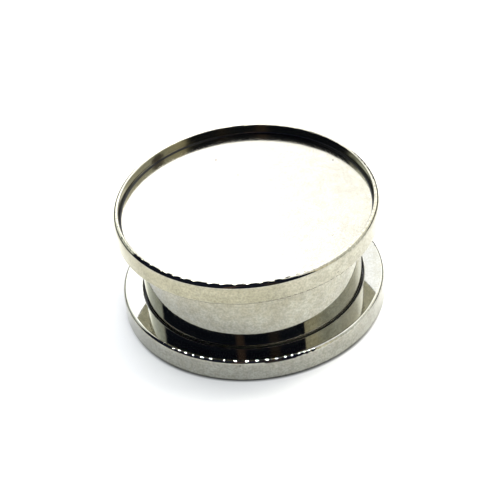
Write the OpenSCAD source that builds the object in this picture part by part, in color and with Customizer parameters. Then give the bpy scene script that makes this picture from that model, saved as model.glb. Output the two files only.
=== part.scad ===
// Screw-fit ear gauge plug in polished steel, lying on its back flange with the tray face up.
// The barrel goes through the stretched lobe and a flange holds it on each side.
// The front flange, its tray and the barrel are turned from one bar. The back flange unscrews.
// Everything is round about the Z axis. The origin is the middle of the face that it lies on.

/* [Barrel] */
// Diameter of the barrel, the gauge of the plug
gauge_d = 25; // [22:0.5:26]
// Length of the barrel that shows between the flanges
lobe_gap = 8.25; // [6:0.25:12]
// Thickness of the barrel's wall
barrel_wall = 1.5; // [1.2:0.1:2]
// Radius of the cove where the barrel meets the front flange
barrel_cove = 0.2; // [0.1:0.05:0.3]

/* [Flanges] */
// Diameter of both flanges
flange_d = 30; // [29.5:0.5:34]
// Thickness of the front flange, the tray's rim included
front_t = 2.6; // [2.4:0.1:3.2]
// Thickness of the back flange
back_t = 2.75; // [2.4:0.05:3.4]
// Radius of the front flange's rounded edge beside the lobe
front_edge_r = 0.25; // [0.1:0.05:0.4]
// Radius of the back flange's rounded edge beside the lobe
back_edge_r = 0.4; // [0.2:0.05:0.6]
// Radius of the back flange's rounded edge on the floor
floor_edge_r = 0.25; // [0.1:0.05:0.4]

/* [Tray] */
// Width of the rim round the tray
rim_w = 0.6; // [0.5:0.05:1]
// Depth of the tray, where an inlay is glued
tray_depth = 1.15; // [0.8:0.05:1.2]
// Radius of the rim's inner top edge
rim_inner_r = 0.12; // [0.04:0.01:0.2]
// Width of the flat ring left on top of the rim between its rounded edges
rim_flat = 0.03; // [0.02:0.01:0.1]
// Radius of the cove round the tray's floor
tray_cove = 0.2; // [0.05:0.05:0.3]

/* [Screw fit] */
// Depth of the seat in the back flange that the barrel's end stands in
seat_depth = 1; // [0.6:0.05:1.2]
// How much narrower the barrel is at its end, all round, to go into the seat
barrel_lead = 0.15; // [0.1:0.05:0.3]
// Width of the groove left round the barrel's end in that seat
seat_groove = 0.2; // [0.15:0.05:0.4]
// Radius of the groove's outer edge
seat_edge_r = 0.08; // [0.04:0.01:0.1]
// Height of the spigot above the seat
spigot_h = 5; // [3:0.5:6]
// Thickness of the spigot's wall
spigot_wall = 1.5; // [1.2:0.1:2]
// Gap between the spigot and the barrel's bore, all round
thread_gap = 0.05; // [0.02:0.01:0.1]
// Gap left between the barrel's end and its seat
seat_gap = 0.05; // [0.02:0.01:0.1]
// Chamfer on the spigot's top edge
spigot_chamfer = 0.4; // [0.2:0.1:0.6]

/* [Hidden] */
$fn = 128;

flange_r = flange_d / 2;
barrel_r = gauge_d / 2;
bore_r = barrel_r - barrel_wall;
spigot_r = bore_r - thread_gap;
tray_r = flange_r - rim_w;
rim_outer_r = rim_w - rim_flat - rim_inner_r;

// Heights above the floor
seat_z = back_t - seat_depth;
barrel_end_z = seat_z + seat_gap;
front_z = back_t + lobe_gap;
top_z = front_z + front_t;
tray_z = top_z - tray_depth;
// The barrel's bore ends as far under the tray as the barrel's wall is thick
bore_top_z = tray_z - barrel_wall;

// Half section of a disc, standing on the axis, with its two outer corners rounded
module disc_section(r, z_low, z_high, low_r, high_r) {
    translate([0, z_low]) square([r - low_r, z_high - z_low - high_r]);
    translate([0, z_low + low_r]) square([r - high_r, z_high - z_low - low_r]);
    translate([0, z_low + low_r]) square([r, z_high - z_low - low_r - high_r]);
    translate([r - low_r, z_low + low_r]) circle(low_r);
    translate([r - high_r, z_high - high_r]) circle(high_r);
}

// What is left of a square of side r when a circle fills its far corner.
// It sits on the point [x, z] and reaches out along side_x and side_z, each 1 or -1.
module corner_piece(x, z, r, side_x, side_z) {
    translate([x, z]) scale([side_x, side_z]) difference() {
        square(r);
        translate([r, r]) circle(r);
    }
}

// Space cut out of the front flange for the inlay, with its rim's inner edge rounded off
module tray_section() {
    difference() {
        translate([0, tray_z]) square([tray_r, tray_depth + 1]);
        corner_piece(tray_r, tray_z, tray_cove, -1, 1);
    }
    corner_piece(tray_r, top_z, rim_inner_r, 1, -1);
}

// Barrel with the cove under the front flange and the tapered end that goes into the seat
module barrel_section() {
    translate([0, back_t]) square([barrel_r, lobe_gap + front_edge_r]);
    polygon([
        [0, barrel_end_z],
        [barrel_r - barrel_lead, barrel_end_z],
        [barrel_r, back_t],
        [0, back_t]
    ]);
    corner_piece(barrel_r, front_z, barrel_cove, 1, -1);
}

module front_tray() {
    color("silver") rotate_extrude() difference() {
        union() {
            disc_section(flange_r, front_z, top_z, front_edge_r, rim_outer_r);
            barrel_section();
        }
        tray_section();
        translate([0, barrel_end_z - 1]) square([bore_r, bore_top_z - barrel_end_z + 1]);
    }
}

// Seat cut into the back flange for the barrel's end, with its outer edge rounded off
module seat_section() {
    seat_r = barrel_r + seat_groove;
    translate([0, seat_z]) square([seat_r, seat_depth + 1]);
    corner_piece(seat_r, back_t, seat_edge_r, 1, -1);
}

// Ring that goes into the barrel. It starts a little below the seat to be one piece with it.
module spigot_section() {
    inner_r = spigot_r - spigot_wall;
    root_z = seat_z - floor_edge_r;
    spigot_top_z = seat_z + spigot_h;
    polygon([
        [inner_r, root_z],
        [spigot_r, root_z],
        [spigot_r, spigot_top_z - spigot_chamfer],
        [spigot_r - spigot_chamfer, spigot_top_z],
        [inner_r, spigot_top_z]
    ]);
}

module back_flange() {
    color("silver") rotate_extrude() {
        difference() {
            disc_section(flange_r, 0, back_t, floor_edge_r, back_edge_r);
            seat_section();
        }
        spigot_section();
    }
}

front_tray();
back_flange();
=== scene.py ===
"""Looks of the ear gauge plug: polished steel in a white light tent whose camera side is open and dark."""
import math

import bpy
from mathutils import Matrix, Vector

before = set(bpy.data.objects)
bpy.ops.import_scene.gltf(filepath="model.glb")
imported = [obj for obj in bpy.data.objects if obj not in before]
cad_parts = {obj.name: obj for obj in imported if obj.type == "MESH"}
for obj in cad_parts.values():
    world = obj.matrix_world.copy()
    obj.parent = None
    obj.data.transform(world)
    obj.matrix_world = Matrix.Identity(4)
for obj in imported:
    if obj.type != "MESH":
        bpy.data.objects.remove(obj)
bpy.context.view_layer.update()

# Lengths are in metres where no comment says mm
MM_PER_M = 1000
MM = 1 / MM_PER_M
DEGREES_PER_RADIAN = 180 / math.pi

# Sizes of the part in mm: the radii of the flanges, the tray, the barrel and the seat that the barrel's
# foot stands in, and the heights of the top, the tray's floor and the back flange's top
FLANGE_R, TRAY_R, BARREL_R, SEAT_R = 15, 14.4, 12.5, 12.7
TOP_Z, TRAY_Z, BACK_Z = 13.6, 12.45, 2.75


class Tree:
    """A shader tree with short ways to make and join its nodes."""

    def __init__(self, tree):
        self.tree = tree
        tree.nodes.clear()

    def node(self, kind, **values):
        made = self.tree.nodes.new(kind)
        for name, value in values.items():
            setattr(made, name, value)
        return made

    def put(self, socket, value):
        if isinstance(value, bpy.types.NodeSocket):
            self.tree.links.new(value, socket)
        else:
            socket.default_value = value

    def output(self, kind, shader):
        self.put(self.node(kind).inputs["Surface"], shader.outputs[0])

    def math(self, operation, *inputs, clamp=False):
        made = self.node("ShaderNodeMath", operation=operation, use_clamp=clamp)
        for socket, value in zip(made.inputs, inputs):
            self.put(socket, value)
        return made.outputs[0]

    def product(self, first, *others):
        for other in others:
            first = self.math("MULTIPLY", first, other)
        return first

    def total(self, first, *others):
        for other in others:
            first = self.math("ADD", first, other)
        return first

    def squares(self, a, b):
        return self.total(self.product(a, a), self.product(b, b))

    def distance(self, x, y):
        """Distance of the point (x, y) from the origin."""
        return self.math("SQRT", self.squares(x, y))

    def azimuth(self, x, y):
        """Degrees round from the camera's side, positive towards its right."""
        return self.product(self.math("ARCTAN2", x, self.product(y, -1)), DEGREES_PER_RADIAN)

    def split(self, vector):
        made = self.node("ShaderNodeSeparateXYZ")
        self.put(made.inputs[0], vector)
        return made.outputs

    def scaled(self, vector, scale):
        made = self.node("ShaderNodeVectorMath", operation="SCALE")
        self.put(made.inputs[0], vector)
        self.put(made.inputs["Scale"], scale)
        return made.outputs[0]

    def place_mm(self):
        """The place on the object, in mm."""
        return self.scaled(self.node("ShaderNodeTexCoord").outputs["Object"], MM_PER_M)

    def noise(self, vector, scale, detail, roughness):
        made = self.node("ShaderNodeTexNoise")
        self.put(made.inputs["Vector"], vector)
        self.put(made.inputs["Scale"], scale)
        self.put(made.inputs["Detail"], detail)
        self.put(made.inputs["Roughness"], roughness)
        return made.outputs[0]

    def ramp(self, value, start, end, low=0.0, high=1.0):
        """Goes smoothly from low to high as value goes from start to end."""
        made = self.node("ShaderNodeMapRange", interpolation_type="SMOOTHSTEP")
        for socket, number in zip(made.inputs, (value, start, end, low, high)):
            self.put(socket, number)
        return made.outputs["Result"]

    def fall(self, value, start, end, high=1.0):
        """Goes smoothly from high to 0 as value goes from start to end."""
        return self.ramp(value, start, end, high, 0.0)

    def band(self, value, start, end, soft):
        """Is 1 between start and end, with soft edges."""
        rise = self.ramp(value, start - soft / 2, start + soft / 2)
        fall = self.fall(value, end - soft / 2, end + soft / 2)
        return self.product(rise, fall)

    def mix(self, factor, a, b):
        """Colour a where factor is 0 and b where it is 1."""
        made = self.node("ShaderNodeMix", data_type="RGBA")
        self.put(made.inputs[0], factor)
        for socket, colour in ((made.inputs[6], a), (made.inputs[7], b)):
            self.put(socket, colour if isinstance(colour, bpy.types.NodeSocket) else (*colour, 1))
        return made.outputs[2]

    def stops(self, value, colours, top):
        """Looks value up in a list of (value, colour), with colours up to top."""
        low, high = colours[0][0], colours[-1][0]
        made = self.node("ShaderNodeValToRGB")
        self.put(made.inputs[0], self.math("DIVIDE", self.math("SUBTRACT", value, low), high - low))
        elements = made.color_ramp.elements
        while len(elements) < len(colours):
            elements.new(0.5)
        for element, (at, colour) in zip(elements, colours):
            element.position = (at - low) / (high - low)
            element.color = (*(channel / top for channel in colour), 1)
        return self.scaled(made.outputs[0], top)


# Colours that the steel reflects. Where it is polished they vary between the first two. After the marks'
# colour come painted shade for the tray's corner and the groove, and a painted highlight for the barrel's
# foot.
STEEL_WARM = (0.374, 0.36, 0.288)
STEEL_COOL = (0.368, 0.366, 0.32)
MARK_COLOUR = (0.06, 0.045, 0.04)
HOLLOW_SHADE = (0.04, 0.04, 0.04)
FOOT_HIGHLIGHT = (0.85, 0.84, 0.76)

# Noises as (scale per mm, detail, roughness)
GRAIN = (4.0, 4, 0.65)
CLOUD = (0.45, 3, 0.55)
MOTTLE = (1.1, 4, 0.6)
LINES = (1.0, 3, 0.6)
# How fast the lathe's lines vary round the part, and along its height and radius
LINES_ROUND, LINES_ACROSS = 0.12, 9.0
# What the noises do to the steel's shade, warmth and roughness, as (start, end, low, high)
CLOUD_SHADE = (0.3, 0.7, 0.93, 1.07)
GRAIN_SHADE = (0.36, 0.64, 0.86, 1.14)
LINES_SHADE = (0.3, 0.7, 0.93, 1.04)
MOTTLE_SHADE = (0.35, 0.65, 1.06, 0.94)
MOTTLE_WARMTH = (0.35, 0.65, 0.25, 0.8)
CLOUD_ROUGHNESS = (0.35, 0.7, 0.035, 0.06)
GRAIN_ROUGHNESS = (0.4, 0.8, 0.0, 0.03)
# What the height in mm does to its warmth, in the same form
HEIGHT_WARMTH = (1, 12, -0.5, 0.5)
# How much of that roughness the finer polish leaves, and how much of that shade is missing where the
# steel is fresh
FINE_ROUGHNESS = 0.35
FRESH_LOSS = 0.6
# Roughness added in the tray, on marks, where the steel is dull and on broken edges
TRAY_ROUGHNESS, MARK_ROUGHNESS, DULL_ROUGHNESS, BROKEN_ROUGHNESS = 0.09, 0.25, 0.3, 0.35
# The bumps, and how much the lines and the grain count in them beside the clouds
BUMP_STRENGTH, BUMP_DISTANCE = 0.1, 0.01 * MM
LINES_BUMP, GRAIN_BUMP = 0.25, 0.2

# Where the finishes are, as limits of height (Z) and radius (R) in mm. Two numbers are a soft limit's
# start and end, and three are a band's start, end and softness.
INSIDE_Z, INSIDE_R = (TRAY_Z - 0.04, TRAY_Z - 0.01), (TRAY_R + 0.01, TRAY_R + 0.03)
CORNER_Z, CORNER_R = (TRAY_Z + 0.09, TRAY_Z + 0.17), (TRAY_R - 0.3, TRAY_R - 0.22)
GROOVE_Z, GROOVE_R = (BACK_Z - 0.55, BACK_Z - 0.25), (SEAT_R, SEAT_R + 0.04)
FOOT_Z, FOOT_R = (BACK_Z - 0.25, BACK_Z + 0.1, 0.06), (BARREL_R + 0.05, BARREL_R + 0.1)
BROKEN_Z, BROKEN_R = (BACK_Z - 0.11, BACK_Z + 0.05, 0.04), (SEAT_R - 0.02, SEAT_R + 0.14, 0.04)
RIM_Z = (TOP_Z - 0.6, TOP_Z - 0.4)
EDGE_Z, EDGE_R = (BACK_Z - 0.4, BACK_Z + 0.01, 0.04), (FLANGE_R - 0.5, FLANGE_R - 0.4)
BACK_TOP_Z, BACK_TOP_R = (BACK_Z - 0.05, BACK_Z + 0.05, 0.04), (BARREL_R + 0.1, BARREL_R + 0.2)

# Specks on the tray's floor, as (x, y, radius) in mm, and marks on upright faces, as (degrees round
# from the front, radius, height, half width, half height, strength) with lengths in mm
FLOOR_SPECKS = [(-2.9, 9.85, 0.12), (-0.55, 6.55, 0.09), (10.47, 7.51, 0.12), (9.23, -6.25, 0.1)]
SPECK_STRENGTH = 0.7
SIDE_MARKS = [
    (-138, TRAY_R, 12.9, 0.95, 0.5, 0.85),
    (116.5, TRAY_R, 12.95, 0.6, 0.35, 0.5),
    (38, FLANGE_R, 11.68, 0.1, 0.08, 0.8),
    (-9.6, FLANGE_R, 2.22, 0.12, 0.08, 0.8),
]
# Where they fade, by the squared distance from the middle, which is 1 at their size. The grain frays
# the marks on upright faces, and these end a little off their radius, in mm.
SPECK_FADE, MARK_FADE = (0.4, 1.6), (0.3, 1.7)
MARK_FRAY, NOISE_MIDDLE = 1.5, 0.5
MARK_DEPTH = (0.1, 0.2)
# Length in mm of one degree round a flange
MM_PER_DEGREE = math.radians(1) * FLANGE_R


def make_marks(t, x, y, z, radius, inside, grain):
    """How strong the specks and marks are, from 0 to 1."""
    marks = 0.0
    for speck_x, speck_y, speck_r in FLOOR_SPECKS:
        across = t.math("DIVIDE", t.math("SUBTRACT", x, speck_x), speck_r)
        along = t.math("DIVIDE", t.math("SUBTRACT", y, speck_y), speck_r)
        spot = t.product(t.fall(t.squares(across, along), *SPECK_FADE, SPECK_STRENGTH), inside)
        marks = t.math("MAXIMUM", spot, marks)
    around = t.azimuth(x, y)
    fray = t.product(t.math("SUBTRACT", grain, NOISE_MIDDLE), MARK_FRAY)
    for angle, mark_r, height, half_width, half_height, strength in SIDE_MARKS:
        arc = t.product(t.math("SUBTRACT", around, angle), MM_PER_DEGREE)
        across = t.math("DIVIDE", arc, half_width)
        along = t.math("DIVIDE", t.math("SUBTRACT", z, height), half_height)
        far = t.total(t.squares(across, along), fray)
        off = t.math("ABSOLUTE", t.math("SUBTRACT", radius, mark_r))
        spot = t.product(t.fall(far, *MARK_FADE, strength), t.fall(off, *MARK_DEPTH))
        marks = t.math("MAXIMUM", spot, marks)
    return marks


def make_steel():
    """Polished steel with the marks of wear and making on it, painted shade in its corner and groove, and a
    painted highlight on the barrel's foot.
    """
    material = bpy.data.materials.new("polished_steel")
    material.use_nodes = True
    t = Tree(material.node_tree)
    place = t.place_mm()
    x, y, z = t.split(place)
    radius = t.distance(x, y)

    # The corner round the tray's floor and the groove round the barrel's foot are rougher, and painted dark
    # there as shade
    inside = t.product(t.ramp(z, *INSIDE_Z), t.fall(radius, *INSIDE_R))
    corner = t.product(t.ramp(radius, *CORNER_R), t.fall(z, *CORNER_Z), inside)
    groove = t.product(t.fall(z, *GROOVE_Z), t.fall(radius, *GROOVE_R))
    dull_and_shaded = t.math("MAXIMUM", corner, groove)
    # The barrel's foot and the groove's outer edge are broken but not polished, and the foot is painted
    # bright as a highlight
    foot = t.product(t.fall(radius, *FOOT_R), t.band(z, *FOOT_Z))
    broken = t.math("MAXIMUM", foot, t.product(t.band(radius, *BROKEN_R), t.band(z, *BROKEN_Z)))
    # The rim's top and the back flange's upper edge are polished finer
    edge = t.product(t.band(z, *EDGE_Z), t.ramp(radius, *EDGE_R))
    fine = t.math("MAXIMUM", edge, t.ramp(z, *RIM_Z))
    # The tray and the back flange's top are fresh, because nothing touches them
    back_top = t.product(t.band(z, *BACK_TOP_Z), t.ramp(radius, *BACK_TOP_R))
    fresh = t.math("MAXIMUM", inside, back_top)

    grain = t.noise(place, *GRAIN)
    cloud = t.noise(place, *CLOUD)
    mottle = t.noise(place, *MOTTLE)
    # Lines left by the lathe: they vary along the height and the radius and hardly round the part
    streaked = t.node("ShaderNodeCombineXYZ")
    t.put(streaked.inputs[0], t.product(x, LINES_ROUND))
    t.put(streaked.inputs[1], t.product(y, LINES_ROUND))
    t.put(streaked.inputs[2], t.product(t.total(z, radius), LINES_ACROSS))
    lines = t.noise(streaked.outputs[0], *LINES)
    marks = make_marks(t, x, y, z, radius, inside, grain)

    shade = t.product(
        t.ramp(cloud, *CLOUD_SHADE),
        t.ramp(grain, *GRAIN_SHADE),
        t.ramp(lines, *LINES_SHADE),
        t.ramp(mottle, *MOTTLE_SHADE),
    )
    kept = t.math("SUBTRACT", 1, t.product(fresh, FRESH_LOSS))
    shade = t.total(t.product(kept, t.math("SUBTRACT", shade, 1)), 1)
    warmth = t.math("ADD", t.ramp(z, *HEIGHT_WARMTH), t.ramp(mottle, *MOTTLE_WARMTH), clamp=True)
    colour = t.scaled(t.mix(warmth, STEEL_COOL, STEEL_WARM), shade)
    colour = t.mix(marks, colour, MARK_COLOUR)
    # Painted shade in the tray's corner and in the groove round the barrel's foot
    colour = t.mix(dull_and_shaded, colour, HOLLOW_SHADE)
    # A painted highlight on the barrel's foot
    colour = t.mix(foot, colour, FOOT_HIGHLIGHT)

    rough = t.total(t.ramp(cloud, *CLOUD_ROUGHNESS), t.ramp(grain, *GRAIN_ROUGHNESS))
    rough = t.total(
        t.product(rough, t.ramp(fine, 0, 1, 1, FINE_ROUGHNESS)),
        t.product(inside, TRAY_ROUGHNESS),
        t.product(marks, MARK_ROUGHNESS),
        t.product(dull_and_shaded, DULL_ROUGHNESS),
        t.product(broken, BROKEN_ROUGHNESS),
    )

    bump = t.node("ShaderNodeBump")
    t.put(bump.inputs["Strength"], BUMP_STRENGTH)
    t.put(bump.inputs["Distance"], BUMP_DISTANCE)
    t.put(bump.inputs["Height"], t.total(t.product(lines, LINES_BUMP), t.product(grain, GRAIN_BUMP), cloud))
    shader = t.node("ShaderNodeBsdfPrincipled")
    t.put(shader.inputs["Base Color"], colour)
    t.put(shader.inputs["Metallic"], 1)
    t.put(shader.inputs["Roughness"], rough)
    t.put(shader.inputs["Normal"], bump.outputs[0])
    t.output("ShaderNodeOutputMaterial", shader)
    return material


# The paper's colours, and where it has the last two, by radius, X and Y in mm. The last two are painted: a
# ring of warm-tinted painted shade round the object that fades out on the right, and a painted contact
# shadow where the object's front edge stands on it.
PAPER = (0.82, 0.82, 0.82)
SHADE_RING_PAPER = (0.67, 0.66, 0.6)
CONTACT_SHADOW_PAPER = (0.3, 0.3, 0.3)
SHADE_RING_R, SHADE_RING_X = (23, 44, 10), (-2, 24)
CONTACT_R, CONTACT_Y = (FLANGE_R - 0.05, FLANGE_R + 0.35), (-12, -5)
# Half its width
FLOOR_HALF = 0.6


def make_paper():
    """Matt white paper, with painted shade and a painted contact shadow round the object."""
    material = bpy.data.materials.new("white_paper")
    material.use_nodes = True
    t = Tree(material.node_tree)
    x, y = t.split(t.place_mm())[:2]
    radius = t.distance(x, y)
    # Painted shade: a warm-tinted ring round the object that fades out on the right
    painted_shade_ring = t.product(t.band(radius, *SHADE_RING_R), t.fall(x, *SHADE_RING_X))
    # Painted contact shadow beside the object's front edge
    contact_shadow = t.product(t.fall(radius, *CONTACT_R), t.fall(y, *CONTACT_Y))
    colour = t.mix(contact_shadow, t.mix(painted_shade_ring, PAPER, SHADE_RING_PAPER), CONTACT_SHADOW_PAPER)
    shader = t.node("ShaderNodeBsdfPrincipled")
    t.put(shader.inputs["Base Color"], colour)
    t.put(shader.inputs["Roughness"], 1.0)
    t.put(shader.inputs["Specular IOR Level"], 0.0)
    t.output("ShaderNodeOutputMaterial", shader)
    return material


def make_floor():
    """The sheet of paper that the object lies on."""
    half = FLOOR_HALF
    mesh = bpy.data.meshes.new("floor")
    corners = [(-half, -half, 0), (half, -half, 0), (half, half, 0), (-half, half, 0)]
    mesh.from_pydata(corners, [], [(0, 1, 2, 3)])
    floor = bpy.data.objects.new("floor", mesh)
    bpy.context.scene.collection.objects.link(floor)
    floor.data.materials.append(make_paper())


# The tent's walls as (azimuth, colour), in degrees from the camera's side towards its right
WALLS = [
    (-180, (3.2, 3.2, 3.6)),
    (-174, (3.3, 3.4, 3.9)),
    (-158, (3.1, 3.15, 3.1)),
    (-150, (1.95, 2.05, 2.0)),
    (-138, (1.40, 1.47, 1.50)),
    (-126, (1.07, 1.15, 1.12)),
    (-108, (0.88, 0.86, 0.86)),
    (49, (1.07, 1.0, 0.8)),
    (60, (1.25, 1.18, 0.95)),
    (75, (0.93, 0.95, 0.90)),
    (90, (1.22, 1.24, 1.20)),
    (105, (1.3, 1.3, 1.25)),
    (120, (1.5, 1.48, 1.4)),
    (132, (1.8, 1.8, 1.7)),
    (138, (2.37, 2.37, 2.33)),
    (150, (3.1, 3.1, 3.1)),
    (168, (2.3, 2.3, 2.4)),
    (176, (2.15, 2.2, 2.25)),
    (178, (2.45, 2.45, 2.75)),
    (179.4, (2.8, 2.8, 3.2)),
    (180, (3.2, 3.2, 3.6)),
]
BRIGHTEST_WALL = 4
# Between these elevations they change to one colour, which is darker in a band on the camera's right
HIGH_FROM = (46, 56)
HIGH_COLOUR, HIGH_RIGHT_COLOUR = (3.0, 3.0, 3.1), (1.5, 1.52, 1.7)
HIGH_RIGHT_AZIMUTHS = (44, 108, 12)
# Low down behind the object they end in a dark gap on the left and on the right
GAP_AZIMUTHS, GAP_TOP = (104, 166, 8), (16, 24)
GAP_COLOUR = (0.06, 0.06, 0.07)
# Where it is dark, as (azimuth, lowest elevation): all of the open front, and the roof's gap overhead.
# It starts softly, over DARK_SOFT degrees to each side.
DARK_FROM = [
    (-180, 43), (-170, 43), (-157, 49), (-146, 53), (-137, 50), (-116, 39), (-113, 27), (-108, 12),
    (-107, -90), (48, -90), (49, 58), (54, 62), (66, 70), (76, 76), (100, 80), (141, 78), (158, 68),
    (166, 61), (171, 54), (175, 46), (180, 43),
]
DARK_SOFT = 1
DARK = (0.015, 0.019, 0.036)
# Brown glimpses in the dark, as (azimuth, half width, colour)
GLIMPSES = [(-21, 4, (0.12, 0.08, 0.07)), (15, 5, (0.055, 0.045, 0.045))]
BACKDROP = (1, 1, 1)
TENT_STRENGTH = 1.11
RIGHT_ANGLE = 90


def make_tent():
    """The light tent that the object mirrors. The camera itself sees a white backdrop."""
    world = bpy.data.worlds.new("tent")
    bpy.context.scene.world = world
    world.use_nodes = True
    t = Tree(world.node_tree)
    x, y, z = t.split(t.node("ShaderNodeTexCoord").outputs["Generated"])
    azimuth = t.azimuth(x, y)
    elevation = t.product(t.math("ARCSINE", z), DEGREES_PER_RADIAN)

    walls = t.stops(azimuth, WALLS, BRIGHTEST_WALL)
    high = t.mix(t.band(azimuth, *HIGH_RIGHT_AZIMUTHS), HIGH_COLOUR, HIGH_RIGHT_COLOUR)
    walls = t.mix(t.ramp(elevation, *HIGH_FROM), walls, high)
    gap = t.product(t.band(t.math("ABSOLUTE", azimuth), *GAP_AZIMUTHS), t.fall(elevation, *GAP_TOP))
    walls = t.mix(gap, walls, GAP_COLOUR)

    # A colour can't be negative, so the elevations are looked up as 0 to 2 right angles from straight down
    lowest = [(at, (angle / RIGHT_ANGLE + 1,) * 3) for at, angle in DARK_FROM]
    edge = t.product(t.math("SUBTRACT", t.stops(azimuth, lowest, 2), 1), RIGHT_ANGLE)
    above = t.math("SUBTRACT", elevation, edge)
    dark = DARK
    for at, half_width, colour in GLIMPSES:
        dark = t.mix(t.band(azimuth, at - half_width, at + half_width, half_width), dark, colour)
    seen = t.mix(t.ramp(above, -DARK_SOFT, DARK_SOFT), walls, dark)

    is_camera = t.node("ShaderNodeLightPath").outputs["Is Camera Ray"]
    background = t.node("ShaderNodeBackground")
    t.put(background.inputs["Color"], t.mix(is_camera, seen, BACKDROP))
    t.put(background.inputs["Strength"], TENT_STRENGTH)
    t.output("ShaderNodeOutputWorld", background)


# The tubes in the roof, in mm and degrees. Their front ends are in a row that passes the object's axis
# at this distance in front, turned clockwise as seen from above. It starts on the left, and one of its
# steps is wider by a gap.
TUBES = 18
ROOF_HEIGHT = 400
ROW_FRONT, ROW_TURN = 50, -22.3
ROW_START, ROW_STEP = -282.6, 31
ROW_GAP, AFTER_GAP = 8.4, 6
# They all run towards one point on the Y axis behind the object. Their front ends shine on the back
# flange alone, and between two values of Y they shine on everything.
TUBES_TOWARDS = 500
SHINE_FROM, SHINE_TO = 210, 410
END_WIDTH, END_LENGTH = 7, 16
END_WATTS = 0.1
TUBE_WIDTH = 3
TUBE_WATTS_PER_MM = 0.00015
# Soft lights in the tent, as (azimuth, elevation, distance and size in m, watts, colour)
SOFT_LIGHTS = [
    (-29, 77, 0.41, (0.4, 0.12), 0.97, (0.92, 0.97, 1)),
    (-140, 40, 0.41, (0.2, 0.2), 0.55, (1, 1, 1)),
    (180, 40, 0.41, (0.2, 0.2), 0.57, (1, 1, 1)),
    (55, 68, 0.41, (0.45, 0.2), 0.27, (1, 1, 1)),
    (125, 72, 0.14, (0.05, 0.05), 0.143, (1, 0.97, 0.84)),
]


def add_light(name, place, rotation, size, watts):
    """An area light that the camera doesn't see."""
    data = bpy.data.lights.new(name, "AREA")
    data.shape = "RECTANGLE"
    data.size, data.size_y = size
    data.energy = watts
    light = bpy.data.objects.new(name, data)
    light.visible_camera = False
    light.location = place
    light.rotation_euler = rotation
    bpy.context.scene.collection.objects.link(light)
    return light


def add_lamp(middle, turn, width, length, watts):
    """A lamp in the roof that faces down and shows only in reflections. Its place and size are in mm."""
    place = (middle.x * MM, middle.y * MM, ROOF_HEIGHT * MM)
    lamp = add_light("lamp", place, (0, 0, turn), (width * MM, length * MM), watts)
    lamp.visible_diffuse = False
    return lamp


def make_tubes():
    """The bare tubes that the rim and the back flange's edge mirror as a row of glints."""
    lit_by_ends = bpy.data.collections.new("lit_by_ends")
    lit_by_ends.objects.link(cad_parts["back_flange"])
    row = Matrix.Rotation(math.radians(ROW_TURN), 2)
    for number in range(TUBES):
        along = ROW_START + ROW_STEP * number + (ROW_GAP if number >= AFTER_GAP else 0)
        front = row @ Vector((along, -ROW_FRONT))
        way = (Vector((0, TUBES_TOWARDS)) - front).normalized()
        turn = math.atan2(-way.x, way.y)
        end = add_lamp(front + way * END_LENGTH / 2, turn, END_WIDTH, END_LENGTH, END_WATTS)
        end.light_linking.receiver_collection = lit_by_ends
        length = (SHINE_TO - SHINE_FROM) / way.y
        middle = front + way * ((SHINE_FROM + SHINE_TO) / 2 - front.y) / way.y
        add_lamp(middle, turn, TUBE_WIDTH, length, TUBE_WATTS_PER_MM * length)


def make_soft_lights():
    """Lights that face the object, stand in for the tent's glow and show in no reflection."""
    for azimuth, elevation, distance, size, watts, colour in SOFT_LIGHTS:
        turn, lift = math.radians(azimuth), math.radians(elevation)
        out, up = distance * math.cos(lift), distance * math.sin(lift)
        place = (out * math.sin(turn), -out * math.cos(turn), up)
        light = add_light("soft", place, (math.pi / 2 - lift, 0, turn), size, watts)
        light.data.color = colour
        light.visible_glossy = False


# The photograph's view, from a fit of the flanges' circles. The distance from the target and its height
# are in flange radii, the angles in radians and its offset from the picture's middle in pixels.
TARGET_DISTANCE, TARGET_HEIGHT = 19.7426, 0.46
CAMERA_TILT, CAMERA_ROLL = 0.67334, 0.10438
FOCAL_PX, TARGET_X, TARGET_Y = 2601.56, -0.6584, -2.2583
PHOTO_PX, SENSOR_MM = 500, 36
CLIP_START = 0.01


def turned(vector, axis, angle):
    return Matrix.Rotation(angle, 3, axis) @ vector


def make_camera():
    forward = Vector((0, math.cos(CAMERA_TILT), -math.sin(CAMERA_TILT)))
    right = Vector((1, 0, 0))
    up = right.cross(forward)
    place = Vector((0, 0, TARGET_HEIGHT)) - forward * TARGET_DISTANCE
    pan = -math.atan(TARGET_X / FOCAL_PX)
    forward, right = turned(forward, up, pan), turned(right, up, pan)
    lift = math.atan(TARGET_Y / FOCAL_PX)
    forward, up = turned(forward, right, lift), turned(up, right, lift)
    right, up = turned(right, forward, CAMERA_ROLL), turned(up, forward, CAMERA_ROLL)

    data = bpy.data.cameras.new("camera")
    data.sensor_width = SENSOR_MM
    data.lens = FOCAL_PX * SENSOR_MM / PHOTO_PX
    data.clip_start = CLIP_START
    camera = bpy.data.objects.new("camera", data)
    matrix = Matrix((right, up, -forward)).transposed().to_4x4()
    matrix.translation = place * (FLANGE_R * MM)
    camera.matrix_world = matrix
    bpy.context.scene.collection.objects.link(camera)
    bpy.context.scene.camera = camera


steel = make_steel()
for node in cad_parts.values():
    node.data.materials.clear()
    node.data.materials.append(steel)
make_floor()
make_tent()
make_tubes()
make_soft_lights()
make_camera()
bpy.context.scene.view_settings.view_transform = "Standard"
